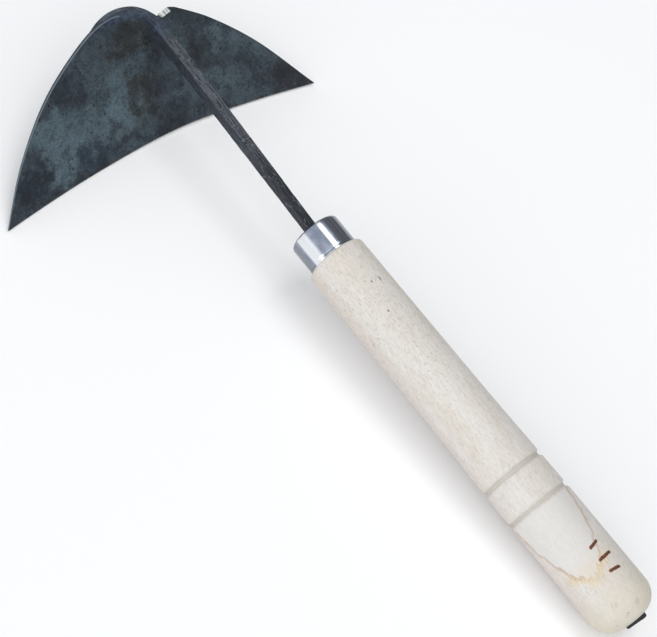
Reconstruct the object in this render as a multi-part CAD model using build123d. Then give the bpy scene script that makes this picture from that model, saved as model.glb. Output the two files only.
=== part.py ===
from build123d import *
from math import cos, degrees, radians, sin
import os

# Hand hoe with a half-moon blade. Built about the handle's axis: X runs from the butt to the
# blade, Y to the tool's left, Z up, in millimetres. X = 0 lies just ahead of the ferrule.

# handle, a turned grip with two grooves and a rounded butt
butt_x = -231.4
butt_radius = 15.5
butt_corner = 10.5
groove_centres = (-169.3, -152.2)
groove_width = 3.4
groove_depth = 1.1
groove_flank = 0.9
grip_swell = 15.3
grip_middle = (-115, 14.85)
grip_waist_x = -65
grip_waist = 14.7
shoulder_x = -26.7
shoulder_round = 1.8

# ferrule, a drawn cap over the handle's tenon
ferrule_radius = 12.5
ferrule_wall = 1.0
ferrule_front_x = -10.6
ferrule_round = 1.7
ferrule_slot = 6.0
tenon_radius = ferrule_radius - ferrule_wall
tenon_end_x = ferrule_front_x - ferrule_wall

# tang, square bar tapering to the butt, where its end is bent over and hammered flat
tang_at_butt = 4.4
tang_at_ferrule = 4.9
clinch_reach = (-5.2, 4.6)
clinch_bend = 1.0
clinch_stand = 2.1
clinch_lip = 0.6

# blade, a dished half-moon, thick along its spine and thin at its cutting edge
blade_lean = 50.0
blade_centre = Vector(112.3, 0, -14.4)
dish_radius = 600.0
back_radius = 580.0
mid_thickness = 2.0
edge_taper = 0.02
blank_depth = 25.0
left_tip = (102.0, -45.2)
right_tip = (-92.0, -43.4)
left_spine = ((83.9, -20.0), (61.3, 3.1), (35.1, 20.6), (19.3, 26.6), (8.2, 26.4))
ground_flat = ((-6.0, 20.5), (-12.3, 18.2), (-17.6, 19.7))
right_spine = ((-18.8, 21.7), (-40.1, 8.7), (-64.8, -12.3))
cutting_edge = ((-50.0, -40.0), (-7.0, -38.0), (44.0, -40.6))

# gooseneck: the bar deepens out of the tang, swings left and thins away into the left spine.
# Each station: top of the bar x, y, z; heading, fall, lean in degrees; width, root width, depth
bar_start = (ferrule_front_x, 0.0, tang_at_ferrule / 2, 0, 0, 0, tang_at_ferrule,
             tang_at_ferrule, tang_at_ferrule)
bar_steps = 9
neck_stations = (
    (95.0, -3.4, 4.9, -1.5, 0, 0, 5.8, 5.6, 6.4),
    (104.0, -3.7, 5.2, -1, 0, 0, 6.0, 5.6, 7.4),
    (112.5, -3.8, 5.5, 3, 0, 2, 6.3, 5.4, 9.0),
    (120.6, -3.2, 6.0, 20, 0, 8, 6.5, 4.6, 11.2),
    (127.2, 0.2, 6.6, 50, 0, 20, 6.6, 3.8, 12.6),
    (131.2, 6.2, 6.7, 77, 0, 33, 6.2, 3.2, 12.8),
    (132.2, 14.0, 6.0, 93, 5, 40, 5.4, 2.6, 12.0),
    (130.7, 22.0, 4.5, 99, 14, 40, 3.8, 1.8, 10.0),
    (126.9, 31.0, 1.5, 105, 22, 40, 1.8, 1.0, 7.0),
)

# rounds of pitching the whole tool until it lies level on its edge and butt
levelling_rounds = 5


def axial(x, size):
    """Square face across the handle's axis."""
    return Plane(origin=(x, 0, 0), x_dir=(0, 1, 0), z_dir=(1, 0, 0)) * Rectangle(size, size)


def tang():
    """Bar from the ferrule's front through the whole handle."""
    return loft([axial(butt_x, tang_at_butt), axial(ferrule_front_x, tang_at_ferrule)])


def clinch():
    """Tang end bent across the butt: a round bend at one side, beaten to a lip at the other."""
    right, left = clinch_reach
    root = (butt_x, right + clinch_bend)
    crown = (butt_x - clinch_stand, right + clinch_bend)
    outline = Polyline(root, (butt_x, left), (butt_x - clinch_lip, left), crown)
    bend = ThreePointArc(root, (butt_x - clinch_bend, right), crown)
    return extrude(make_face(outline + bend), tang_at_butt / 2, both=True)


def bar_section(x, y, z, heading, fall, lean, width, root, depth):
    """Cross-section of the gooseneck, hung from the middle of its top face."""
    h, f, b = radians(heading), radians(fall), radians(lean)
    along = Vector(cos(h) * cos(f), sin(h) * cos(f), -sin(f))
    left = Vector(-sin(h) * cos(b), cos(h) * cos(b), sin(b))
    outline = Polyline((-width / 2, 0), (width / 2, 0), (root / 2, -depth),
                       (-root / 2, -depth), close=True)
    return Plane(origin=(x, y, z), x_dir=left, z_dir=along) * make_face(outline)


def gooseneck():
    """Exposed bar: an even run from the ferrule, then the bend into the left spine."""
    run = [[a + (b - a) * step / bar_steps for a, b in zip(bar_start, neck_stations[0])]
           for step in range(bar_steps)]
    return loft([bar_section(*station) for station in (*run, *neck_stations)])


def blade_plane():
    """Sketch plane of the blade: x to the left wing, y up to the neck, z out of the back."""
    lean = radians(blade_lean)
    return Plane(origin=blade_centre, x_dir=(0, 1, 0), z_dir=(sin(lean), 0, -cos(lean)))


def blade_outline():
    """Half-moon with a low hump under the neck and a ground flat beside it."""
    outline = Spline(left_tip, *left_spine)
    outline += Polyline(left_spine[-1], *ground_flat, right_spine[0])
    outline += Spline(*right_spine, right_tip)
    outline += Spline(right_tip, *cutting_edge, left_tip)
    return make_face(outline)


def ball(radius, centre):
    """Ball whose seam and poles lie well away from the blade."""
    return Plane(origin=centre, x_dir=(0, 0, -1), z_dir=(0, 1, 0)) * Sphere(radius)


def blade():
    """Dished plate between two nearly equal balls, thinning from the spine to the edge."""
    back = ball(back_radius, (0, back_radius * edge_taper, mid_thickness - back_radius))
    plate = extrude(blade_outline(), blank_depth, both=True)
    return blade_plane() * (plate & (back - ball(dish_radius, (0, 0, -dish_radius))))


def forged_head():
    """One forging: blade, gooseneck, tang and clinched end."""
    return blade() + gooseneck() + tang() + clinch()


def groove(centre, radius):
    """Profile points of one turned groove with sloping flanks."""
    half, floor = groove_width / 2, radius - groove_depth
    return [(centre - half, radius), (centre - half + groove_flank, floor),
            (centre + half - groove_flank, floor), (centre + half, radius)]


def handle():
    """Turned grip with a tenon in front, bored to the tang's own taper."""
    corner = RadiusArc((butt_x, butt_radius - butt_corner), (butt_x + butt_corner, butt_radius),
                       butt_corner)
    rear, front = (groove(x, r) for x, r in zip(groove_centres, (butt_radius, grip_swell)))
    land = Polyline((butt_x + butt_corner, butt_radius), *rear, *front)
    grip = Spline(front[-1], grip_middle, (grip_waist_x, grip_waist),
                  (shoulder_x - shoulder_round, grip_waist))
    shoulder = RadiusArc((shoulder_x - shoulder_round, grip_waist),
                         (shoulder_x, grip_waist - shoulder_round), shoulder_round)
    tenon = Polyline((shoulder_x, grip_waist - shoulder_round), (shoulder_x, tenon_radius),
                     (tenon_end_x, tenon_radius), (tenon_end_x, 0), (butt_x, 0),
                     (butt_x, butt_radius - butt_corner))
    return revolve(make_face(corner + land + grip + shoulder + tenon), Axis.X) - tang()


def ferrule():
    """Drawn cap with a rounded front rim and a square slot for the tang."""
    length = ferrule_front_x - shoulder_x
    cup = Plane(origin=(shoulder_x, 0, 0), z_dir=(1, 0, 0)) * Cylinder(
        ferrule_radius, length, align=(Align.CENTER, Align.CENTER, Align.MIN))
    cup = fillet(cup.edges().sort_by(Axis.X)[-1], ferrule_round)
    bore = Plane(origin=(shoulder_x, 0, 0), z_dir=(1, 0, 0)) * Cylinder(
        tenon_radius, length - ferrule_wall, align=(Align.CENTER, Align.CENTER, Align.MIN))
    return cup - bore - extrude(axial(tenon_end_x, ferrule_slot), 2 * ferrule_wall)


def lay_down(parts):
    """Rests the tool on its cutting edge and butt, centred over the middle of its outline."""
    pitch, reach = 0, blade_centre.X - butt_x
    for _ in range(levelling_rounds):
        blade_low, butt_low = ((Rot(0, pitch, 0) * parts[name]).bounding_box().min.Z
                               for name in ("forged_head", "handle"))
        pitch += degrees((blade_low - butt_low) / reach)
    pitched = {name: Rot(0, pitch, 0) * part for name, part in parts.items()}
    box = Compound(list(pitched.values())).bounding_box()
    shift = Pos(-(box.min.X + box.max.X) / 2, -(box.min.Y + box.max.Y) / 2, -box.min.Z)
    print(f"pitch {pitch:.4f} deg, shift {shift.position}")
    return {name: shift * part for name, part in pitched.items()}


os.makedirs("parts", exist_ok=True)
tool = {"forged_head": forged_head(), "ferrule": ferrule(), "handle": handle()}
for name, part in lay_down(tool).items():
    export_step(part, f"parts/{name}.step")
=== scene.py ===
import math

import bmesh
import bpy
from mathutils import Matrix, Vector, kdtree, noise


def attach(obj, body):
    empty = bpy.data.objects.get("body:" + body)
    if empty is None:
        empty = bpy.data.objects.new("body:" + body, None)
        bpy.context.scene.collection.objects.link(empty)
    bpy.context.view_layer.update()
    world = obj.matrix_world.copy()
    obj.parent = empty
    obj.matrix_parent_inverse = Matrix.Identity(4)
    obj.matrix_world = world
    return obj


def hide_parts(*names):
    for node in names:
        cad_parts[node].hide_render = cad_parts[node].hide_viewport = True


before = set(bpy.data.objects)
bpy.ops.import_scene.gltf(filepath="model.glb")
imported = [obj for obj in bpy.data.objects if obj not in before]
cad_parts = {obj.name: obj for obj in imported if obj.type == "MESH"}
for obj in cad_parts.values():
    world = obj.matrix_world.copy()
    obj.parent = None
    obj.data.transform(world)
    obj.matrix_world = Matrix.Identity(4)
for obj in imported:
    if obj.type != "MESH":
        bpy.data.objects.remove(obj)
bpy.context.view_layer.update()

# The tool is measured about its handle's axis, in millimetres: X from the butt to the blade,
# Y to its left, Z up. It lies pitched on its cutting edge and butt.
PITCH = math.radians(-5.4008)
SHIFT = Vector((49.62294, -5.0, 36.26974))
MM = 0.001
TOOL_TO_ROW = (Matrix.Scale(MM, 4) @ Matrix.Translation(SHIFT)
               @ Matrix.Rotation(PITCH, 4, "Y"))

# handle
BUTT_X, BUTT_RADIUS, BUTT_CORNER = -231.4, 15.5, 10.5
GROOVES = ((-169.3, 15.5), (-152.2, 15.3))
GROOVE_HALF, GROOVE_DEPTH, GROOVE_FLANK = 1.7, 1.1, 0.9
GRIP = ((-150.5, 15.3), (-115.0, 14.85), (-65.0, 14.7), (-28.5, 14.7))
SHOULDER_X, SHOULDER_ROUND = -26.7, 1.8

# ferrule
FERRULE_RADIUS, FERRULE_WALL, FERRULE_FRONT, FERRULE_ROUND = 12.5, 1.0, -10.6, 1.7
SLOT_HALF = 3.0

# tang
TANG_AT_BUTT, TANG_AT_FERRULE = 4.4, 4.9
CLINCH_RIGHT, CLINCH_LEFT, CLINCH_STAND, CLINCH_LIP = -4.4, 6.2, 2.05, 1.0
CLINCH_RISE = 2.4

# blade, in its own plane: u to the left wing, v up to the neck, w out of the back
LEAN = math.radians(50.0)
BLADE_CENTRE = Vector((112.3, 0.0, -14.4))
BLADE_UP = Vector((math.cos(LEAN), 0.0, math.sin(LEAN)))
BLADE_BACK = Vector((math.sin(LEAN), 0.0, -math.cos(LEAN)))
DISH_RADIUS, BACK_RADIUS, BACK_SHIFT, MID_THICKNESS = 600.0, 580.0, 11.6, 2.0
LEFT_SPINE = ((102.0, -45.2), (83.9, -20.0), (61.3, 3.1), (35.1, 20.6), (19.3, 26.6), (8.2, 26.4))
GROUND_FLAT = ((-6.0, 20.5), (-12.3, 18.2), (-17.6, 19.7))
RIGHT_SPINE = ((-18.8, 21.7), (-40.1, 8.7), (-64.8, -12.3), (-92.0, -43.4))
CORNER_DROP, CORNER_REACH = 0.6, 2.8      # the right wing's corner is rounded off
CUTTING_EDGE = ((-92.0, -43.4), (-50.0, -40.0), (-7.0, -38.0), (44.0, -40.6), (102.0, -45.2))

# gooseneck stations: top of the bar x, y, z; heading, fall, lean; width, root width, depth
BAR_START = (FERRULE_FRONT, 0.0, TANG_AT_FERRULE / 2, 0, 0, 0, TANG_AT_FERRULE, TANG_AT_FERRULE,
             TANG_AT_FERRULE)
NECK = (
    (95.0, -3.4, 4.9, -1.5, 0, 0, 5.8, 5.6, 6.4),
    (104.0, -3.7, 5.2, -1, 0, 0, 6.0, 5.6, 7.4),
    (112.5, -3.8, 5.5, 3, 0, 2, 6.3, 5.4, 9.0),
    (120.6, -3.2, 6.0, 20, 0, 8, 6.5, 4.6, 11.2),
    (127.2, 0.2, 6.6, 50, 0, 20, 6.6, 3.8, 12.6),
    (131.2, 6.2, 6.7, 77, 0, 33, 6.2, 3.2, 12.8),
    (132.2, 14.0, 6.0, 93, 5, 40, 5.4, 2.6, 12.0),
    (130.7, 22.0, 4.5, 99, 14, 40, 3.8, 1.8, 10.0),
    (126.9, 31.0, 1.5, 105, 22, 40, 1.8, 1.0, 7.0),
)


# ---------------------------------------------------------------- mesh helpers

def catmull(points, steps):
    """Smooth curve through points of any dimension, steps to a span."""
    first = [2 * a - b for a, b in zip(points[0], points[1])]
    last = [2 * a - b for a, b in zip(points[-1], points[-2])]
    padded, out = [first, *points, last], []
    for a, b, c, d in zip(padded, padded[1:], padded[2:], padded[3:]):
        for step in range(steps):
            t = step / steps
            out.append(tuple(
                0.5 * (2 * q + (r - p) * t + (2 * p - 5 * q + 4 * r - s) * t * t
                       + (3 * q - p - 3 * r + s) * t ** 3)
                for p, q, r, s in zip(a, b, c, d)))
    return [*out, tuple(points[-1])]


def smooth_step(low, high, value):
    """0 at low and 1 at high, easing between them; low may be the larger."""
    t = min(1.0, max(0.0, (value - low) / (high - low)))
    return t * t * (3 - 2 * t)


def lookup(curve, x):
    """Height of a polyline curve at x; the curve runs either way."""
    for (xa, ya), (xb, yb) in zip(curve, curve[1:]):
        if min(xa, xb) <= x <= max(xa, xb) and xa != xb:
            return ya + (yb - ya) * (x - xa) / (xb - xa)
    return curve[0][1] if abs(x - curve[0][0]) < abs(x - curve[-1][0]) else curve[-1][1]


def skin(name, rings, closed=False, caps=True):
    """Mesh through rings of equal length, each ring closed on itself, in tool millimetres."""
    bm = bmesh.new()
    rows = [[bm.verts.new(p) for p in ring] for ring in rings]
    count = len(rows[0])
    pairs = list(zip(rows, rows[1:])) + ([(rows[-1], rows[0])] if closed else [])
    for a, b in pairs:
        for i in range(count):
            j = (i + 1) % count
            bm.faces.new((a[i], a[j], b[j], b[i]))
    if caps and not closed:
        bm.faces.new(rows[0])
        bm.faces.new(rows[-1])
    bmesh.ops.recalc_face_normals(bm, faces=bm.faces)
    mesh = bpy.data.meshes.new(name)
    bm.to_mesh(mesh)
    bm.free()
    piece = bpy.data.objects.new(name, mesh)
    bpy.context.scene.collection.objects.link(piece)
    return piece


def settle(piece, node, materials, sharp=40.0):
    """Puts a finished piece into the row frame, shades it, parents it to the root body and hides
    the CAD node it stands in for.
    """
    mesh = piece.data
    mesh.transform(TOOL_TO_ROW)
    for index, material in enumerate(materials):
        if index < len(mesh.materials):
            mesh.materials[index] = material
        else:
            mesh.materials.append(material)
    mesh.shade_smooth()
    mesh.set_sharp_from_angle(angle=math.radians(sharp))
    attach(piece, "root")
    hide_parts(node)


# ---------------------------------------------------------------- blade

TOP_LEFT, TOP_RIGHT = catmull(LEFT_SPINE, 24), catmull(RIGHT_SPINE, 24)
BOTTOM = catmull(CUTTING_EDGE, 24)


def blade_top(u):
    """Height of the blade's top edge at u: left wing, ground flat, then right wing."""
    corner, corner_top = RIGHT_SPINE[0]
    if u >= GROUND_FLAT[0][0]:
        return lookup([*TOP_LEFT, GROUND_FLAT[0]], u)
    if u >= corner:
        return lookup([*GROUND_FLAT, (corner, corner_top - CORNER_DROP)], u)
    drop = CORNER_DROP * smooth_step(corner - CORNER_REACH, corner, u) ** 2
    return lookup(TOP_RIGHT, u) - drop


def inner_face(u, v):
    """Depth w of the hollow face, towards the handle."""
    return math.sqrt(DISH_RADIUS ** 2 - u * u - v * v) - DISH_RADIUS


def outer_face(u, v):
    """Depth w of the back, whose sphere sits higher, so the spine is the thick side."""
    back = MID_THICKNESS - BACK_RADIUS
    return math.sqrt(BACK_RADIUS ** 2 - u * u - (v - BACK_SHIFT) ** 2) + back


def hammered(u, v, edge_gap):
    """Low hollows left by the hammer, fading out towards the edges."""
    p = Vector((u, v, 0.0))
    wave = 0.20 * noise.noise(p / 13.0) + 0.07 * noise.noise(p / 5.0 + Vector((9, 4, 2)))
    return wave * smooth_step(0.3, 5.0, edge_gap)


BLADE_ROWS, EDGE_BEVEL, EDGE_LAND, RIM_ROUND = 52, 0.9, 0.3, 0.3
TIP_INSET_RIGHT, TIP_INSET_LEFT = 0.7, 0.6      # the wing tips are blunt
FLAT_SLOPE, FLAT_SWELL = 1.5, 0.6      # the ground flat rises to a back that stands out a little
OFF_BLADE = 50.0      # rim distance stored for points that aren't on the blade


def flat_share(u):
    """1 on the ground flat beside the neck and 0 off it."""
    left, right = GROUND_FLAT[1][0], GROUND_FLAT[2][0]
    return smooth_step(right - 1.0, right, u) * smooth_step(left + 1.6, left + 0.3, u)


def blade_section(u):
    """Closed section across the blade at u: inner face, cutting edge, outer face, spine."""
    top, bottom = blade_top(u) - 0.03, lookup(BOTTOM, u) + 0.05
    rim = min(RIM_ROUND, 0.35 * (outer_face(u, top) - inner_face(u, top)), 0.2 * (top - bottom))
    bevel = min(EDGE_BEVEL, 0.25 * (top - bottom))
    high, low = top - rim, bottom + bevel
    slope, swell = FLAT_SLOPE * flat_share(u), FLAT_SWELL * flat_share(u)
    steps = [i / BLADE_ROWS for i in range(BLADE_ROWS + 1)]
    inner, outer = [], []
    for v in (high + (low - high) * step for step in steps):
        inner.append((v, inner_face(u, v) + hammered(u, v, min(top - v, v - bottom))))
    for v in (high + slope + (low - high - slope) * step for step in steps):
        gap = min(top + slope - v, v - bottom)
        bulge = swell * smooth_step(9.0, 1.0, gap)
        outer.append((v, outer_face(u, v) + hammered(u, v, gap) + bulge))
    edge_back = outer_face(u, bottom)
    land = min(EDGE_LAND, 0.5 * (edge_back - inner_face(u, bottom)))
    edge = [(bottom + 0.05, edge_back - land), (bottom, edge_back - land / 2),
            (bottom + 0.05, edge_back)]
    back_w, front_w = outer_face(u, top + slope) + swell, inner_face(u, top)
    turns = [math.radians(a) for a in (30, 60, 90)]
    over_back = [(high + slope + rim * math.sin(a), back_w - rim + rim * math.cos(a))
                 for a in turns]
    middle = [(top + slope * (1 - k), back_w + (front_w - back_w) * k) for k in (0.25, 0.5, 0.75)]
    over_front = [(high + rim * math.sin(a), front_w + rim - rim * math.cos(a))
                  for a in reversed(turns)]
    loop = [*inner, *edge, *reversed(outer), *over_back, *middle, *over_front]
    return [BLADE_CENTRE + Vector((0, u, 0)) + BLADE_UP * v + BLADE_BACK * w for v, w in loop]


def blade_mesh():
    corners = [LEFT_SPINE[-1][0], *(p[0] for p in GROUND_FLAT), RIGHT_SPINE[0][0]]
    right, left = RIGHT_SPINE[-1][0] + TIP_INSET_RIGHT, LEFT_SPINE[0][0] - TIP_INSET_LEFT
    count = round(left - right)
    even = [right + (left - right) * i / count for i in range(count + 1)]
    columns = sorted([u for u in even if all(abs(u - c) > 0.4 for c in corners)] + corners)
    return skin("blade", [blade_section(u) for u in columns])


# ---------------------------------------------------------------- gooseneck, tang, clinched end

def rounded_outline(corners, radius):
    """Outline with each corner eased by four points and each side split in three."""
    out = []
    for i, corner in enumerate(corners):
        before, after = Vector(corners[i - 1]), Vector(corners[(i + 1) % len(corners)])
        here = Vector(corner)
        a, b = before - here, after - here
        ra, rb = (min(radius, 0.4 * side.length) for side in (a, b))
        start, end = here + a.normalized() * ra, here + b.normalized() * rb
        for t in (0.0, 0.33, 0.67, 1.0):
            out.append(start * (1 - t) ** 2 + here * 2 * t * (1 - t) + end * t * t)
        next_start = after - b.normalized() * min(radius, 0.4 * b.length)
        out += [end.lerp(next_start, k) for k in (0.33, 0.67)]
    return out


def bar_ring(station, radius=0.45, wobble=0.1):
    """Ring of the forged bar at one station, a little uneven from the hammer."""
    x, y, z, heading, fall, lean, width, root, depth = station
    h, f, b = math.radians(heading), math.radians(fall), math.radians(lean)
    along = Vector((math.cos(h) * math.cos(f), math.sin(h) * math.cos(f), -math.sin(f)))
    left = Vector((-math.sin(h) * math.cos(b), math.cos(h) * math.cos(b), math.sin(b)))
    left = (left - along * left.dot(along)).normalized()
    up = along.cross(left)
    corners = [(-width / 2, 0), (width / 2, 0), (root / 2, -depth), (-root / 2, -depth)]
    middle = Vector((x, y, z)) - up * depth / 2
    ring = []
    for a, c in rounded_outline(corners, min(radius, 0.22 * width)):
        point = Vector((x, y, z)) + left * a + up * c
        swell = noise.noise(point / 8.0) + 0.5 * noise.noise(point / 3.0)
        ring.append(point + (point - middle).normalized() * wobble * (swell - 0.4))
    return ring


RIDGE_PER_CORNER = (0.3, 1.0, 1.0, 0.3, 0.0, 0.0)     # four corner points, two on the side


def mark_ridges(mesh, ring_size):
    """Stores 1 at the crown of each rounded corner of the bar and 0 on its faces."""
    ridge = mesh.attributes.new("ridge", "FLOAT", "POINT")
    for i in range(len(mesh.vertices)):
        ridge.data[i].value = RIDGE_PER_CORNER[(i % ring_size) % len(RIDGE_PER_CORNER)]


def bar_mesh():
    """Tang and gooseneck in one run, from the butt to where the neck dies into the blade."""
    half_butt = TANG_AT_BUTT / 2
    butt = (BUTT_X + 1.0, 0, half_butt, 0, 0, 0, TANG_AT_BUTT, TANG_AT_BUTT, TANG_AT_BUTT)
    stations = [[a + (b - a) * i / 20 for a, b in zip(butt, BAR_START)] for i in range(20)]
    stations += [[a + (b - a) * i / 80 for a, b in zip(BAR_START, NECK[0])] for i in range(80)]
    stations += catmull([tuple(s) for s in NECK], 8)
    rings = [bar_ring(s, wobble=0.0 if s[0] < FERRULE_FRONT else 0.12) for s in stations]
    bar = skin("bar", rings)
    mark_ridges(bar.data, len(rings[0]))
    return bar


def clinch_mesh():
    """Tang end bent over at the right and beaten down to a lip at the left."""
    rings, steps = [], 22
    for i in range(steps + 1):
        t = i / steps
        y = CLINCH_RIGHT + 0.05 + (CLINCH_LEFT - CLINCH_RIGHT - 0.1) * t
        bend = math.sqrt(max(0.0, 1 - (1 - min(1.0, t / 0.16)) ** 2))
        lip = math.sqrt(max(0.0, 1 - max(0.0, (t - 0.93) / 0.07) ** 2))
        stand = (CLINCH_STAND + (CLINCH_LIP - CLINCH_STAND) * t) * (0.25 + 0.75 * bend)
        stand += 0.10 * noise.noise(Vector((y * 0.9, 3.1, 0)))
        half = (2.1 - 0.5 * smooth_step(0.5, 1.0, t)) * (0.75 + 0.25 * bend) * (0.6 + 0.4 * lip)
        half += 0.12 * noise.noise(Vector((y * 0.7, 7.7, 0)))
        low, high = CLINCH_RISE - half, CLINCH_RISE + half * (1.25 - 0.35 * t)
        corners = [(low, -1.6), (high, -1.6), (high - 0.2, stand), (low + 0.2, stand)]
        rings.append([Vector((BUTT_X - c, y, a)) for a, c in rounded_outline(corners, 0.55)])
    clinch = skin("clinch", rings)
    mark_ridges(clinch.data, len(rings[0]))
    return clinch


def union(base, other):
    """Melts other into base as one closed skin, and removes other."""
    modifier = base.modifiers.new("join", "BOOLEAN")
    modifier.operation, modifier.solver, modifier.object = "UNION", "EXACT", other
    graph = bpy.context.evaluated_depsgraph_get()
    joined = bpy.data.meshes.new_from_object(base.evaluated_get(graph))
    base.modifiers.clear()
    base.data = joined
    bpy.data.objects.remove(other)


def ease_joint(mesh, reach=1.0, rounds=3):
    """Softens the crease where the neck grows out of the blade."""
    bm = bmesh.new()
    bm.from_mesh(mesh)
    seam = [v for v in bm.verts if len({f.material_index for f in v.link_faces}) > 1]
    tree = kdtree.KDTree(len(seam))
    for i, v in enumerate(seam):
        tree.insert(v.co, i)
    tree.balance()
    near = [v for v in bm.verts if tree.find(v.co)[2] < reach]
    for _ in range(rounds):
        bmesh.ops.smooth_vert(bm, verts=near, factor=0.5, use_axis_x=True, use_axis_y=True,
                              use_axis_z=True)
    bm.to_mesh(mesh)
    bm.free()


def mark_rim(mesh):
    """Stores, for every point, its distance up from the cutting edge and down from the spine."""
    rim = mesh.attributes.new("rim", "FLOAT_VECTOR", "POINT")
    for i, vertex in enumerate(mesh.vertices):
        at = vertex.co - BLADE_CENTRE
        u, v, w = at.y, at.dot(BLADE_UP), at.dot(BLADE_BACK)
        on_blade = (-0.3 < w - inner_face(u, v) < 3.5 and -92.5 < u < 102.5
                    and v < blade_top(u) + 0.2)
        below = blade_top(u) - v if on_blade else OFF_BLADE
        above = v - lookup(BOTTOM, u) if on_blade else OFF_BLADE
        rim.data[i].vector = (above, below, w - inner_face(u, v) if on_blade else 0.0)


def head_mesh():
    """Blade, bar and clinched end as one skin; the ground flat gets the second material."""
    head, bar, clinch = blade_mesh(), bar_mesh(), clinch_mesh()
    head.data.attributes.new("ridge", "FLOAT", "POINT")
    for piece, index in ((head, 0), (bar, 1), (clinch, 1)):
        for _ in range(2):
            piece.data.materials.append(None)
        for polygon in piece.data.polygons:
            polygon.material_index = index
    union(bar, clinch)
    union(head, bar)
    ease_joint(head.data)
    mark_rim(head.data)
    flat_left, flat_right = GROUND_FLAT[1][0], GROUND_FLAT[2][0]
    for polygon in head.data.polygons:
        at = polygon.center - BLADE_CENTRE
        v = at.dot(BLADE_UP)
        on_flat = flat_right - 0.1 < at.y < flat_left + 0.6 and -2.0 < blade_top(at.y) - v < 0.4
        faces_up = polygon.normal.dot(BLADE_UP) > 0.55 and polygon.normal.dot(BLADE_BACK) < 0.5
        polygon.material_index = 1 if on_flat and faces_up else 0
    head.name = head.data.name = "forged_head_surface"
    return head


# ---------------------------------------------------------------- turned pieces

def arc(centre_x, centre_r, radius, start, end, steps):
    """Quarter-turn profile points; angles in degrees from +X towards +R."""
    angles = [math.radians(start + (end - start) * i / steps) for i in range(steps + 1)]
    return [(centre_x + radius * math.cos(a), centre_r + radius * math.sin(a)) for a in angles]


def subdivide(profile, longest):
    """Profile with no step longer than the given length."""
    out = []
    for (xa, ra), (xb, rb) in zip(profile, profile[1:]):
        count = max(1, math.ceil(math.hypot(xb - xa, rb - ra) / longest))
        out += [(xa + (xb - xa) * i / count, ra + (rb - ra) * i / count) for i in range(count)]
    return [*out, profile[-1]]


def handle_profile():
    """Outline (x, radius) from the butt over grooves, grip and shoulder to the tenon's end."""
    profile = arc(BUTT_X + BUTT_CORNER, BUTT_RADIUS - BUTT_CORNER, BUTT_CORNER, 180, 90, 16)
    for centre, radius in GROOVES:
        floor, ease = radius - GROOVE_DEPTH, 0.25
        left, right = centre - GROOVE_HALF, centre + GROOVE_HALF
        profile += [(left - ease, radius), (left + ease * 0.6, radius - ease * 0.7),
                    (left + GROOVE_FLANK, floor + 0.06), (left + GROOVE_FLANK + ease, floor),
                    (right - GROOVE_FLANK - ease, floor), (right - GROOVE_FLANK, floor + 0.06),
                    (right - ease * 0.6, radius - ease * 0.7), (right + ease, radius)]
    profile += catmull(GRIP, 12)[1:]
    profile += arc(SHOULDER_X - SHOULDER_ROUND, GRIP[-1][1] - SHOULDER_ROUND, SHOULDER_ROUND,
                   90, 0, 6)[1:]
    tenon = FERRULE_RADIUS - FERRULE_WALL
    profile += [(SHOULDER_X, tenon + 0.3), (SHOULDER_X + 0.3, tenon - 0.02),
                (FERRULE_FRONT - FERRULE_WALL - 0.3, tenon - 0.02),
                (FERRULE_FRONT - FERRULE_WALL, tenon - 0.4), (FERRULE_FRONT - FERRULE_WALL, 1.0)]
    return subdivide([(BUTT_X, 0.8), *profile], 1.6)


def turned_ring(x, radius, sides):
    angles = (2 * math.pi * k / sides for k in range(sides))
    return [Vector((x, radius * math.cos(a), radius * math.sin(a))) for a in angles]


def handle_mesh(sides=128):
    """Turned grip, worn about a tenth of a millimetre out of round."""
    rings = []
    for x, r in handle_profile():
        ring = []
        for k in range(sides):
            a = 2 * math.pi * k / sides
            at = Vector((x, r * math.cos(a), r * math.sin(a)))
            stretch = Vector((at.x / 30.0, at.y / 9.0, at.z / 9.0))
            worn = 0.07 * (noise.noise(stretch) - 1.0) + 0.02 * noise.noise(at / 2.0)
            ring.append(Vector((x, *((r + worn) * f for f in (math.cos(a), math.sin(a))))))
        rings.append(ring)
    return skin("handle_surface", rings)


def ferrule_mesh(sides=128):
    """Drawn cap: a rolled lip behind, a rounded rim in front and a square slot in its end."""
    rear, front = SHOULDER_X + 0.05, FERRULE_FRONT
    bore = FERRULE_RADIUS - FERRULE_WALL
    outside = [(rear, bore + 0.35), (rear + 0.12, FERRULE_RADIUS - 0.12),
               (rear + 0.4, FERRULE_RADIUS), (rear + 0.9, FERRULE_RADIUS),
               (rear + 1.15, FERRULE_RADIUS - 0.16), (rear + 1.45, FERRULE_RADIUS - 0.05)]
    rim = arc(front - FERRULE_ROUND, FERRULE_RADIUS - FERRULE_ROUND, FERRULE_ROUND, 90, 0, 10)
    outside = subdivide([*outside, *rim], 1.2)
    inside = [(front - FERRULE_WALL, bore - 0.6), (front - FERRULE_WALL - 0.6, bore),
              (rear, bore)]
    rings = [turned_ring(x, r, sides) for x, r in outside]

    def square(x, half, blend):
        """Rounded square ring, blended towards the round front by a share."""
        ring = []
        for k in range(sides):
            a = 2 * math.pi * k / sides
            c, s = math.cos(a), math.sin(a)
            reach = half / (abs(c) ** 9 + abs(s) ** 9) ** (1 / 9)
            r = reach + (FERRULE_RADIUS - FERRULE_ROUND - reach) * blend
            ring.append(Vector((x, r * c, r * s)))
        return ring

    rings += [square(front, SLOT_HALF, b) for b in (0.75, 0.5, 0.25, 0.08)]
    rings += [square(front - 0.03, SLOT_HALF, 0.03), square(front - 0.2, SLOT_HALF, 0.0),
              square(front - FERRULE_WALL, SLOT_HALF, 0.0),
              square(front - FERRULE_WALL, SLOT_HALF, 0.5)]
    rings += [turned_ring(x, r, sides) for x, r in inside]
    return skin("ferrule_surface", rings, closed=True)


# ---------------------------------------------------------------- materials

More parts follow.
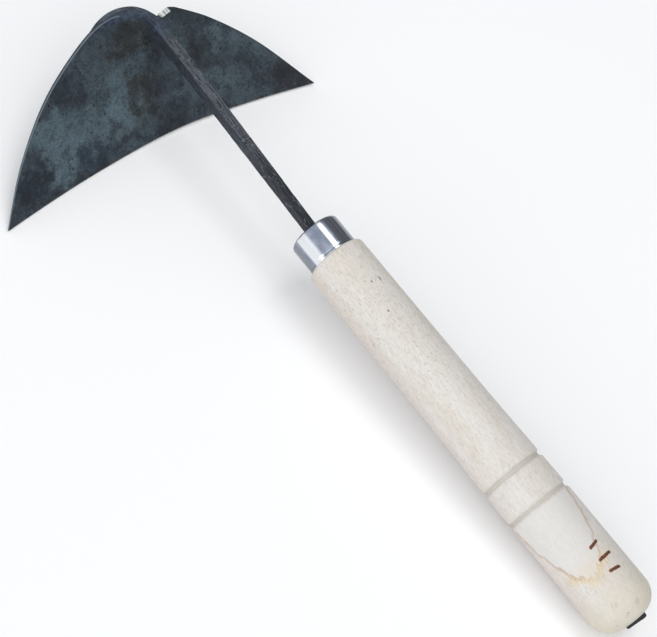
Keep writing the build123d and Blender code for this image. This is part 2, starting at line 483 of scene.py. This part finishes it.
def tone(red, green, blue):
    """Display colour, 0 to 255, as linear RGBA."""
    return (*((c / 255 / 12.92 if c < 11 else ((c / 255 + 0.055) / 1.055) ** 2.4)
              for c in (red, green, blue)), 1.0)


class Paint:
    """Node graph of one material, in tool millimetres."""

    def __init__(self, name):
        self.material = bpy.data.materials.new(name)
        self.material.use_nodes = True
        self.tree = self.material.node_tree
        self.tree.nodes.clear()
        turn = Matrix.Rotation(-PITCH, 3, "Y")
        coordinates = self.add("TexCoord").outputs["Object"]
        self.at = self.add("Mapping", {
            "Vector": coordinates, "Scale": (1 / MM,) * 3, "Rotation": (0, -PITCH, 0),
            "Location": -(turn @ SHIFT)}).outputs[0]
        self.x, self.y, self.z = self.split(self.at)

    def add(self, kind, inputs=None, **settings):
        node = self.tree.nodes.new("ShaderNode" + kind)
        for key, value in settings.items():
            setattr(node, key, value)
        for key, value in (inputs or {}).items():
            if isinstance(value, bpy.types.NodeSocket):
                self.tree.links.new(value, node.inputs[key])
            else:
                node.inputs[key].default_value = value
        return node

    def split(self, vector):
        return tuple(self.add("SeparateXYZ", {0: vector}).outputs)

    def join(self, x, y, z=0.0):
        return self.add("CombineXYZ", {0: x, 1: y, 2: z}).outputs[0]

    def calc(self, operation, a, b=0.0):
        return self.add("Math", {0: a, 1: b}, operation=operation).outputs[0]

    def vector(self, operation, a, b=(0, 0, 0)):
        node = self.add("VectorMath", {0: a, 1: b}, operation=operation)
        return node.outputs["Value" if operation in ("LENGTH", "DOT_PRODUCT") else "Vector"]

    def grain(self, stretch, detail=4.0, roughness=0.6, offset=(0, 0, 0), warp=0.0):
        """Noise, 0 to 1, whose lumps are stretch millimetres long each way."""
        scale = tuple(1 / s for s in stretch)
        place = self.vector("ADD", self.vector("MULTIPLY", self.at, scale), offset)
        return self.add("TexNoise", {"Vector": place, "Scale": 1.0, "Detail": detail,
                                     "Roughness": roughness, "Distortion": warp}).outputs[0]

    def rise(self, value, low, high, out_low=0.0, out_high=1.0):
        return self.add("MapRange", {0: value, 1: low, 2: high, 3: out_low, 4: out_high},
                        interpolation_type="SMOOTHSTEP").outputs[0]

    def mix(self, amount, a, b, blend="MIX"):
        node = self.add("Mix", {0: amount, 6: a, 7: b}, data_type="RGBA", blend_type=blend)
        return node.outputs[2]

    def blob(self, at, centre, size, edge=0.5):
        """Soft patch, 1 inside and 0 outside, in the plane of at."""
        scale = (1 / size[0], 1 / size[1], 0)
        off = self.vector("MULTIPLY", self.vector("SUBTRACT", at, (*centre, 0)), scale)
        return self.rise(self.vector("LENGTH", off), 1 + edge, 1 - edge)

    def spots(self, stretch, share, radius, offset=(0, 0, 0)):
        """Scattered round pits: only a share of the cells holds one."""
        scale = tuple(1 / s for s in stretch)
        place = self.vector("ADD", self.vector("MULTIPLY", self.at, scale), offset)
        cell = self.add("TexVoronoi", {"Vector": place, "Scale": 1.0})
        chosen = self.calc("LESS_THAN", self.split(cell.outputs["Color"])[0], share)
        dot = self.rise(cell.outputs["Distance"], radius, radius * 0.45)
        return self.calc("MULTIPLY", chosen, dot)

    def surface(self, colour, roughness, height, depth, metallic=0.0, specular=0.5):
        """Finishes the material; depth is the bump's height in millimetres."""
        bump = self.add("Bump", {"Strength": 1.0, "Distance": depth * MM, "Height": height})
        shader = self.add("BsdfPrincipled", {
            "Base Color": colour, "Roughness": roughness, "Metallic": metallic,
            "Specular IOR Level": specular, "Normal": bump.outputs[0]})
        self.add("OutputMaterial", {"Surface": shader.outputs[0]})
        return self.material


# patches of scale on the blade: centre and half size (u, v), tone where it differs, strength
TEAL_PATCHES = (
    ((22, -15), (13, 11), 0.95), ((60, -27), (15, 12), 0.95),
    ((66, -12), (11, 7), 0.7), ((40, -16), (16, 9), 0.65),
    ((17, -4), (10, 6), 0.4), ((-42, 0), (11, 8), 0.6),
    ((-56, -10), (12, 6), 0.35), ((-28, -20), (14, 7), 0.4),
)
DARK_PATCHES = (
    ((8, -13), (9, 10), tone(57, 59, 59), 0.85),
    ((6, 15), (13, 7), tone(56, 58, 57), 0.9),
    ((45, -33), (12, 6), tone(52, 65, 77), 0.9),
    ((83, -34), (13, 10), tone(43, 51, 62), 0.95),
    ((52, 5), (11, 6), tone(45, 53, 62), 0.75),
    ((21, -33), (10, 4), tone(44, 52, 62), 0.7),
    ((-28, -3), (9, 10), tone(52, 58, 64), 0.7),
    ((-80, -34), (12, 9), tone(50, 49, 55), 0.8),
    ((-5, 6), (5, 10), tone(45, 51, 64), 0.7),
)


def blade_place(p):
    """Place on the blade (u, v, 0), swayed by noise so that patches get ragged outlines."""
    from_centre = p.vector("SUBTRACT", p.at, tuple(BLADE_CENTRE))
    height = p.vector("DOT_PRODUCT", from_centre, tuple(BLADE_UP))
    sway = [p.calc("SUBTRACT", p.grain((11, 11, 11), 5, 0.65, offset=offset), 0.5)
            for offset in ((0, 0, 0), (31, 7, 3))]
    return p.vector("ADD", p.join(p.y, height), p.vector("MULTIPLY", p.join(*sway), (42, 42, 0)))


def scale_tones(p, mottle, fine):
    """Scale all over the head: clouds, teal and dark patches, flakes and fine speckle."""
    at = blade_place(p)
    cloud = p.grain((34, 34, 34), 6, 0.66, warp=0.4)
    colour = p.mix(p.rise(cloud, 0.38, 0.60), tone(54, 62, 70), tone(80, 92, 100))
    teal = tone(104, 123, 131)
    for centre, size, amount in TEAL_PATCHES:
        patch = p.calc("MULTIPLY", p.blob(at, centre, size, 0.55), amount)
        colour = p.mix(patch, colour, teal)
    for centre, size, shade, amount in DARK_PATCHES:
        patch = p.calc("MULTIPLY", p.blob(at, centre, size, 0.5), amount)
        colour = p.mix(patch, colour, shade)
    dark_flakes = p.calc("MULTIPLY", p.rise(mottle, 0.50, 0.60), 0.5)
    colour = p.mix(dark_flakes, colour, tone(37, 40, 44))
    pale_flakes = p.calc("MULTIPLY", p.rise(mottle, 0.46, 0.36), 0.28)
    colour = p.mix(pale_flakes, colour, tone(98, 114, 120))
    speckle = p.rise(fine, 0.38, 0.62)
    colour = p.mix(0.65, colour, p.mix(speckle, tone(92, 96, 100), tone(160, 164, 168)), "OVERLAY")
    return colour


def bar_tones(p, colour, mottle, streak):
    """Bar: light brushed top, sides darkened as painted shade, black by the ferrule with fine pale
    cracks.
    """
    bar = p.calc("MULTIPLY", p.rise(p.z, -6, -3), p.rise(p.x, 124, 112))
    painted_lit_top = p.rise(p.split(p.add("NewGeometry").outputs["Normal"])[2], 0.45, 0.85)
    bar_colour = p.mix(p.rise(streak, 0.38, 0.64), tone(46, 50, 56), tone(90, 96, 103))
    bar_colour = p.mix(p.calc("MULTIPLY", p.rise(p.grain((16, 6, 6)), 0.5, 0.66), 0.6),
                       bar_colour, tone(74, 66, 76))
    curl = p.calc("ABSOLUTE", p.calc("SUBTRACT", p.grain((2.6, 1.6, 1.6), 2, 0.5), 0.5))
    curl = p.calc("MULTIPLY", p.rise(curl, 0.03, 0.0), p.rise(mottle, 0.40, 0.54))
    bar_colour = p.mix(p.calc("MULTIPLY", curl, 0.8), bar_colour, tone(128, 138, 144))
    # Painted shade: faces of the bar that turn away from the top are darkened to navy.
    bar_colour = p.mix(p.calc("MULTIPLY", p.calc("SUBTRACT", 1.0, painted_lit_top), 0.65), bar_colour,
                       tone(38, 43, 55))
    colour = p.mix(bar, colour, bar_colour)
    black = p.calc("MULTIPLY", p.rise(p.x, 44, 22), 0.9)
    cracks = p.add("TexVoronoi", {
        "Vector": p.vector("MULTIPLY", p.vector("ADD", p.at, p.vector(
            "MULTIPLY", p.add("TexNoise", {"Vector": p.at, "Scale": 0.3}).outputs[1],
            (6, 2, 2))), (0.11, 0.42, 0.42)), "Scale": 1.0}, feature="DISTANCE_TO_EDGE")
    crack = p.calc("MULTIPLY", p.rise(cracks.outputs[0], 0.045, 0.0),
                   p.rise(p.grain((6, 3, 3), offset=(8, 8, 8)), 0.42, 0.6))
    near = p.mix(crack, p.mix(p.rise(streak, 0.4, 0.7), tone(30, 32, 38), tone(50, 54, 62)),
                 tone(112, 124, 128))
    colour = p.mix(black, colour, near)
    colour = p.mix(p.rise(p.x, -225, -229), colour, tone(52, 52, 54))
    return colour


def edge_tones(p, colour, mottle, streak, below, through):
    """Bluish band over neck and spine, painted shade on the spine's top face, its front corner
    worn a little lighter, and painted highlights with some wear on the bar's corners.
    """
    band = p.calc("MULTIPLY", p.rise(p.z, 2.5, 5.0), p.rise(p.x, 104, 118))
    band_colour = p.mix(p.rise(mottle, 0.40, 0.60), tone(70, 84, 100), tone(44, 50, 64))
    colour = p.mix(p.calc("MULTIPLY", band, 0.85), colour, band_colour)
    # Painted shade on the spine's narrow top face.
    spine_painted_shade = p.rise(below, 0.9, 0.45)
    colour = p.mix(p.calc("MULTIPLY", spine_painted_shade, 0.8), colour, tone(38, 44, 51))
    corner = p.calc("MULTIPLY", p.rise(below, 0.75, 0.3), p.rise(through, 0.75, 0.35))
    corner = p.calc("MULTIPLY", corner, p.rise(p.y, -14, -6))
    colour = p.mix(p.calc("MULTIPLY", corner, 0.8), colour, tone(112, 124, 134))
    # Painted highlights with some wear: the crowns of the bar's rounded corners on its upper part
    # are lightened.
    ridge = p.rise(p.add("Attribute", attribute_name="ridge").outputs["Fac"], 0.35, 0.95)
    ridge = p.calc("MULTIPLY", p.calc("MULTIPLY", ridge, p.rise(p.z, -1.0, 1.0)),
                   p.rise(streak, 0.32, 0.5))
    colour = p.mix(p.calc("MULTIPLY", ridge, 0.75), colour, tone(136, 142, 150))
    return colour


def forge_scale():
    """Black forge scale, pitted, and brownish along the worn cutting edge."""
    p = Paint("forge_scale")
    mottle = p.grain((6, 6, 6), 8, 0.74, offset=(5, 5, 5), warp=0.6)
    fine = p.grain((1.1, 1.1, 1.1), 5, 0.75)
    streak = p.grain((9, 0.8, 0.8), 5, 0.65, offset=(2, 8, 1))
    above, below, through = p.split(p.add("Attribute", attribute_name="rim").outputs["Vector"])
    colour = scale_tones(p, mottle, fine)
    colour = bar_tones(p, colour, mottle, streak)
    colour = edge_tones(p, colour, mottle, streak, below, through)

    pits = p.calc("MAXIMUM", p.spots((4.2, 4.2, 4.2), 0.4, 0.22),
                  p.spots((1.9, 1.9, 1.9), 0.3, 0.26, offset=(3, 6, 9)))
    in_patch = p.rise(p.grain((14, 14, 14), offset=(9, 1, 4)), 0.40, 0.54)
    pits = p.calc("MULTIPLY", pits, in_patch)
    colour = p.mix(p.calc("MULTIPLY", pits, 0.75), colour, tone(28, 31, 36))
    worn = p.calc("MULTIPLY", p.rise(above, 0.6, 0.2), p.rise(mottle, 0.2, 0.5))
    colour = p.mix(p.calc("MULTIPLY", worn, 0.8), colour, tone(104, 90, 80))

    height = p.calc("ADD", p.calc("MULTIPLY", mottle, 0.8), p.calc("MULTIPLY", fine, 0.3))
    height = p.calc("SUBTRACT", height, p.calc("MULTIPLY", pits, 0.9))
    rough = p.calc("ADD", 0.42, p.calc("MULTIPLY", p.rise(mottle, 0.35, 0.7), 0.22))
    return p.surface(colour, rough, height, 0.5, metallic=0.2, specular=0.3)


def ground_steel():
    """Bare steel of the ground flat, scored across by the wheel."""
    p = Paint("ground_steel")
    lines = p.grain((30, 0.75, 30), 3, 0.7)
    smear = p.grain((1.6, 1.4, 1.6), 3, 0.6, offset=(4, 4, 4))
    colour = p.mix(p.rise(lines, 0.40, 0.60), tone(132, 138, 138), tone(236, 237, 234))
    colour = p.mix(p.calc("MULTIPLY", p.rise(smear, 0.55, 0.7), 0.4), colour, tone(120, 126, 126))
    return p.surface(colour, p.rise(lines, 0.2, 0.8, 0.3, 0.5), lines, 0.08, metallic=0.3)


def turn_about_axis(p):
    """Angle about the handle's axis in degrees, 0 at the tool's left and 90 on top."""
    return p.calc("MULTIPLY", p.calc("ARCTAN2", p.z, p.y), 180 / math.pi)


def plated_steel():
    """Polished plating with painted reflections: light and dark bands around the cap, a painted
    dark rim and a line of painted shade in the rear crease.
    """
    p = Paint("plated_steel")
    draw = p.grain((26, 0.22, 0.22), 3, 0.6)
    cloud = p.grain((5, 4, 4), 5, 0.6, offset=(1, 2, 3))
    colour = p.mix(p.rise(cloud, 0.35, 0.7), tone(136, 144, 160), tone(164, 171, 184))
    stain = p.calc("MULTIPLY", p.rise(p.grain((1.5, 2.2, 2.2), 5, 0.7), 0.56, 0.72), 0.35)
    colour = p.mix(stain, colour, tone(140, 142, 150))
    # Painted shade in the crease of the rolled rear lip.
    crease_painted_shade = p.calc("MULTIPLY", p.rise(p.x, SHOULDER_X + 1.7, SHOULDER_X + 1.1),
                       p.rise(p.x, SHOULDER_X + 0.5, SHOULDER_X + 1.0))
    colour = p.mix(p.calc("MULTIPLY", crease_painted_shade, 0.55), colour, tone(90, 90, 96))
    angle = turn_about_axis(p)
    # Painted reflections: both sides of the cap, chosen by the angle about its axis, are painted
    # dark.
    painted_dark_bands = p.calc("MAXIMUM", p.rise(angle, 82, 92), p.rise(angle, 9, -4))
    painted_dark_bands = p.calc("MULTIPLY", painted_dark_bands, p.calc("MAXIMUM", p.rise(angle, 190, 160),
                                             p.rise(angle, -60, -30)))
    dark_band_colour = p.mix(p.rise(draw, 0.35, 0.65), tone(100, 104, 110), tone(150, 153, 158))
    colour = p.mix(p.calc("MULTIPLY", painted_dark_bands, 0.75), colour, dark_band_colour)
    # Painted highlights: two light bands around the cap.
    painted_highlight_bands = p.calc("MAXIMUM", p.calc("MULTIPLY", p.rise(angle, 9, 16), p.rise(angle, 44, 35)),
                    p.calc("MULTIPLY", p.rise(angle, 68, 72), p.rise(angle, 82, 77)))
    colour = p.mix(p.calc("MULTIPLY", painted_highlight_bands, 0.85), colour, tone(246, 248, 250))
    # Painted dark reflection on the front rim and the end face of the cap.
    colour = p.mix(p.rise(p.x, FERRULE_FRONT - 1.1, FERRULE_FRONT - 0.3), colour,
                   tone(66, 70, 78))
    rough = p.calc("ADD", 0.12, p.calc("MULTIPLY", cloud, 0.14))
    height = p.calc("ADD", draw, p.calc("MULTIPLY", cloud, 0.5))
    return p.surface(colour, rough, height, 0.01, metallic=1.0)


# marks in the wood: place and length of the dark pits, place and size of the grey smudges
WOOD_PITS = ((-49.5, -1.8, 14.6, 1.7), (-48.8, 2.6, 14.4, 0.8), (-64.0, 5.3, 13.7, 0.8),
             (-70.0, -8.9, 11.8, 1.1))
SMUDGES = ((-225.3, 2.2, 14.0, 1.7), (-218.5, -7.4, 12.9, 0.8))
# three plain strokes burned in by the butt: x, y, half length, slant
BURNED_STROKES = ((-196.5, 1.6, 2.0, 0.2), (-203.0, 0.8, 2.9, 0.05), (-209.5, 1.0, 2.2, -0.15))
# the whiter tongue: its tip, its length, and where it sits and half spreads in degrees
TONGUE_TIP_X, TONGUE_LENGTH, TONGUE_TURN, TONGUE_HALF = -207, 36, 51, 70


def wood_tones(p, angle, wide, fibre):
    """Pale wood with its fibres, flecks and blotches, stronger towards the ferrule."""
    cream, pale, pink_tint_and_shade = tone(210, 203, 194), tone(215, 211, 206), tone(206, 194, 187)
    colour = p.mix(p.rise(wide, 0.36, 0.64), cream, pale)
    # Reddish tint with painted shade on the handle's lower side.
    low_side_tint_and_shade = p.rise(angle, 25, -30)
    colour = p.mix(p.calc("MULTIPLY", low_side_tint_and_shade, 0.7), colour, pink_tint_and_shade)
    colour = p.mix(p.calc("MULTIPLY", p.rise(fibre, 0.50, 0.66), 0.42), colour,
                   tone(182, 173, 160))
    colour = p.mix(p.calc("MULTIPLY", p.rise(fibre, 0.46, 0.34), 0.40), colour,
                   tone(232, 229, 222))
    fleck = p.grain((1.7, 0.42, 0.42), 3, 0.55, offset=(7, 3, 5))
    fleck = p.calc("MULTIPLY", p.rise(fleck, 0.58, 0.66), p.rise(p.x, -140, -50, 0.3, 0.7))
    colour = p.mix(fleck, colour, tone(152, 140, 128))
    blotch = p.grain((3.4, 1.7, 1.7), 5, 0.7, offset=(2, 2, 9))
    colour = p.mix(p.calc("MULTIPLY", p.rise(blotch, 0.50, 0.66), 0.4), colour,
                   tone(186, 178, 168))
    front = p.rise(p.x, -75, -35)
    yellow = p.calc("MULTIPLY", front, p.rise(p.grain((14, 6, 6), offset=(3, 3, 3)), 0.4, 0.62))
    colour = p.mix(p.calc("MULTIPLY", yellow, 0.18), colour, tone(204, 194, 176))
    return colour


def wood_pits(p):
    """Open pores, scattered and a few placed ones."""
    pits = p.spots((5.5, 2.4, 2.4), 0.12, 0.14, offset=(2, 5, 1))
    pits = p.calc("MULTIPLY", pits, p.rise(p.x, -110, -60, 0.15, 1.0))
    for x, y, z, length in WOOD_PITS:
        off = p.vector("MULTIPLY", p.vector("SUBTRACT", p.at, (x, y, z)),
                       (1 / length, 2.6, 2.6))
        pits = p.calc("MAXIMUM", pits, p.rise(p.vector("LENGTH", off), 1.0, 0.5))
    return pits


def tongue_tones(p, colour, angle, wide, ragged):
    """Whiter tongue left from the bark side near the butt, with its ragged brown border."""
    x = p.calc("ADD", p.x, p.calc("MULTIPLY", ragged, p.rise(p.x, -192, -203, 1.5, 13)))
    turn = p.calc("ADD", angle, p.calc("MULTIPLY", p.calc(
        "SUBTRACT", p.grain((9, 9, 9), 3, 0.6, offset=(6, 6, 6)), 0.5), 24))
    past_tip = p.calc("SUBTRACT", x, TONGUE_TIP_X)
    reach = p.calc("MAXIMUM", p.calc("DIVIDE", past_tip, TONGUE_LENGTH), 0.0)
    half = p.calc("MULTIPLY", p.calc("SQRT", reach), TONGUE_HALF)
    side = p.calc("SUBTRACT", half, p.calc("ABSOLUTE", p.calc("SUBTRACT", turn, TONGUE_TURN)))
    rear = p.calc("LESS_THAN", p.x, GROOVES[0][0] - GROOVE_HALF)
    near_tip = p.rise(p.x, -210, -206)
    tongue = p.calc("MULTIPLY", p.rise(side, 0, 3), rear)
    border = p.calc("MULTIPLY", p.calc("MULTIPLY", p.rise(side, -5, 0), p.rise(side, 4, 0)), rear)
    patchy = p.rise(wide, 0.3, 0.6, 0.35, 1)
    border = p.calc("MULTIPLY", border, p.calc("MULTIPLY", near_tip, patchy))
    blush = p.calc("MULTIPLY", p.rise(side, -30, -1), p.rise(p.x, -197, -204))
    blush = p.calc("MULTIPLY", blush, p.rise(p.x, -213, -206))
    colour = p.mix(p.calc("MULTIPLY", blush, 0.6), colour, tone(212, 186, 142))
    colour = p.mix(p.calc("MULTIPLY", tongue, 0.6), colour, tone(211, 209, 206))
    return p.mix(p.calc("MULTIPLY", border, 0.6), colour, tone(168, 138, 104))


def butt_tones(p, colour, ragged):
    """Yellower butt with grey smudges, and greyer floors in the two grooves."""
    for x, y, z, size in SMUDGES:
        off = p.vector("LENGTH", p.vector("SUBTRACT", p.at, (x, y, z)))
        off = p.calc("ADD", off, p.calc("MULTIPLY", ragged, 3))
        colour = p.mix(p.rise(off, size * 1.2, size * 0.3, 0.0, 0.6), colour, tone(150, 146, 130))
    butt = p.rise(p.x, -206, -226)
    colour = p.mix(p.calc("MULTIPLY", butt, 0.6), colour, tone(207, 198, 180))
    smudge = p.calc("MULTIPLY", p.rise(p.grain((4, 3, 3), 4, 0.6, offset=(4, 1, 9)), 0.6, 0.74),
                    p.rise(p.x, -212, -222))
    colour = p.mix(p.calc("MULTIPLY", smudge, 0.5), colour, tone(150, 144, 128))
    groove = p.rise(p.vector("LENGTH", p.join(p.y, p.z)), 14.75, 14.3)
    grooves = p.calc("MULTIPLY", groove, p.calc("MULTIPLY", p.rise(p.x, -172, -171),
                                                p.rise(p.x, -149.5, -150.5)))
    return p.mix(p.calc("MULTIPLY", grooves, 0.8), colour, tone(186, 180, 171))


def burned_strokes(p):
    """1 inside the burned strokes on top of the handle and 0 outside."""
    mark = 0.0
    for x, y, length, tilt in BURNED_STROKES:
        ox, oy = p.calc("SUBTRACT", p.x, x), p.calc("SUBTRACT", p.y, y)
        ox = p.calc("ADD", ox, p.calc("MULTIPLY", oy, tilt))
        past = p.calc("MAXIMUM", p.calc("SUBTRACT", p.calc("ABSOLUTE", oy), length), 0.0)
        wobble = p.calc("MULTIPLY", p.calc("SUBTRACT", p.grain((1.4, 1.4, 1.4), 3), 0.5), 0.8)
        away = p.calc("ADD", p.vector("LENGTH", p.join(ox, past)), wobble)
        stroke = p.calc("MULTIPLY", p.rise(away, 0.85, 0.55), p.rise(p.z, 2, 4))
        mark = p.calc("MAXIMUM", mark, stroke)
    return mark


def raw_wood():
    """Sanded, unvarnished wood with its tongue, butt and burned strokes."""
    p = Paint("raw_wood")
    angle = turn_about_axis(p)
    wide = p.grain((60, 10, 10), 5, 0.6)
    fibre = p.grain((4.5, 0.34, 0.34), 5, 0.66)
    ragged = p.calc("SUBTRACT", p.grain((4.5, 0.9, 0.9), 4, 0.7), 0.5)
    pits, mark = wood_pits(p), burned_strokes(p)
    colour = wood_tones(p, angle, wide, fibre)
    colour = p.mix(p.calc("MULTIPLY", pits, 0.85), colour, tone(84, 66, 50))
    colour = tongue_tones(p, colour, angle, wide, ragged)
    colour = butt_tones(p, colour, ragged)
    halo = p.calc("MULTIPLY", p.rise(mark, 0.0, 0.3), 0.25)
    colour = p.mix(halo, colour, tone(190, 150, 104))
    colour = p.mix(mark, colour,
                   p.mix(p.rise(fibre, 0.4, 0.6), tone(80, 46, 26), tone(118, 74, 44)))

    height = p.calc("SUBTRACT", p.calc("MULTIPLY", fibre, 0.6), p.calc("MULTIPLY", pits, 1.5))
    height = p.calc("SUBTRACT", height, p.calc("MULTIPLY", mark, 0.9))
    rough = p.calc("ADD", 0.52, p.calc("MULTIPLY", fibre, 0.25))
    return p.surface(colour, rough, height, 0.12, specular=0.3)


def pale_floor():
    p = Paint("studio_floor")
    soft = p.grain((900, 900, 900), 2)
    colour = p.mix(soft, tone(248, 248, 248), tone(251, 251, 251))
    return p.surface(colour, 0.9, soft, 0.01, specular=0.0)


# ---------------------------------------------------------------- studio

FLOOR_HALF, LAMP_TARGET = 6.0, (0.02, 0, 0.02)
# sky strength by height, then a share of it by side: from, to, value at each
SKY_HEIGHT = (0.0, 0.7, 0.95, 1.0)
SKY_SIDE = (-0.6, 0.3, 0.35, 1.0)
SKY_COLOUR = (0.95, 0.97, 1.0, 1)
# softboxes: name, place and diameter in metres, power in watts
LAMPS = (("overhead", (-0.05, -0.2, 1.5), 0.8, 5.0), ("side", (-0.2, 1.5, 0.5), 0.8, 2.5),
         ("key", (-0.8, 0.9, 1.3), 1.3, 4.2))


def studio():
    """Pale floor, a sky that is brighter at the tool's left, and three softboxes."""
    mesh = bpy.data.meshes.new("floor")
    half = FLOOR_HALF
    mesh.from_pydata([(-half, -half, 0), (half, -half, 0), (half, half, 0), (-half, half, 0)],
                     [], [(0, 1, 2, 3)])
    floor = bpy.data.objects.new("floor", mesh)
    mesh.materials.append(pale_floor())
    bpy.context.scene.collection.objects.link(floor)

    world = bpy.data.worlds.new("studio")
    world.use_nodes = True
    nodes, links = world.node_tree.nodes, world.node_tree.links
    split = nodes.new("ShaderNodeSeparateXYZ")
    links.new(nodes.new("ShaderNodeTexCoord").outputs["Generated"], split.inputs[0])
    product = nodes.new("ShaderNodeMath")
    product.operation = "MULTIPLY"
    for i, (axis, values) in enumerate((("Z", SKY_HEIGHT), ("Y", SKY_SIDE))):
        rise = nodes.new("ShaderNodeMapRange")
        links.new(split.outputs[axis], rise.inputs[0])
        for socket, value in zip(rise.inputs[1:5], values):
            socket.default_value = value
        links.new(rise.outputs[0], product.inputs[i])
    links.new(product.outputs[0], nodes["Background"].inputs["Strength"])
    nodes["Background"].inputs["Color"].default_value = SKY_COLOUR
    bpy.context.scene.world = world
    for name, place, size, power in LAMPS:
        light = bpy.data.lights.new(name, "AREA")
        light.shape, light.size, light.energy = "DISK", size, power
        lamp = bpy.data.objects.new(name, light)
        lamp.location = place
        lamp.rotation_mode = "QUATERNION"
        aim = Vector(place) - Vector(LAMP_TARGET)
        lamp.rotation_quaternion = aim.to_track_quat("Z", "Y")
        bpy.context.scene.collection.objects.link(lamp)


# camera about the tool, in millimetres: its place, its own axes, its lens
CAMERA_PLACE = (-186.89, 349.30, 498.85)
CAMERA_RIGHT, CAMERA_UP = (-0.61423, -0.72739, 0.30600), (0.75642, -0.43222, 0.49093)
CAMERA_BACK = (-0.22484, 0.53301, 0.81569)
SENSOR, LENS = 36.0, 75.67


def camera():
    """Camera above the tool's left near the butt, looking down across the tool."""
    axes = Matrix((CAMERA_RIGHT, CAMERA_UP, CAMERA_BACK)).transposed()
    turn = Matrix.Rotation(PITCH, 3, "Y") @ axes
    data = bpy.data.cameras.new("camera")
    data.sensor_width, data.lens = SENSOR, LENS
    view = bpy.data.objects.new("camera", data)
    view.matrix_world = (Matrix.Translation(TOOL_TO_ROW @ Vector(CAMERA_PLACE))
                         @ turn.to_4x4())
    bpy.context.scene.collection.objects.link(view)
    bpy.context.scene.camera = view
    bpy.context.scene.view_settings.view_transform = "Standard"


settle(head_mesh(), "forged_head", [forge_scale(), ground_steel()])
settle(ferrule_mesh(), "ferrule", [plated_steel()])
settle(handle_mesh(), "handle", [raw_wood()], sharp=60)
studio()
camera()
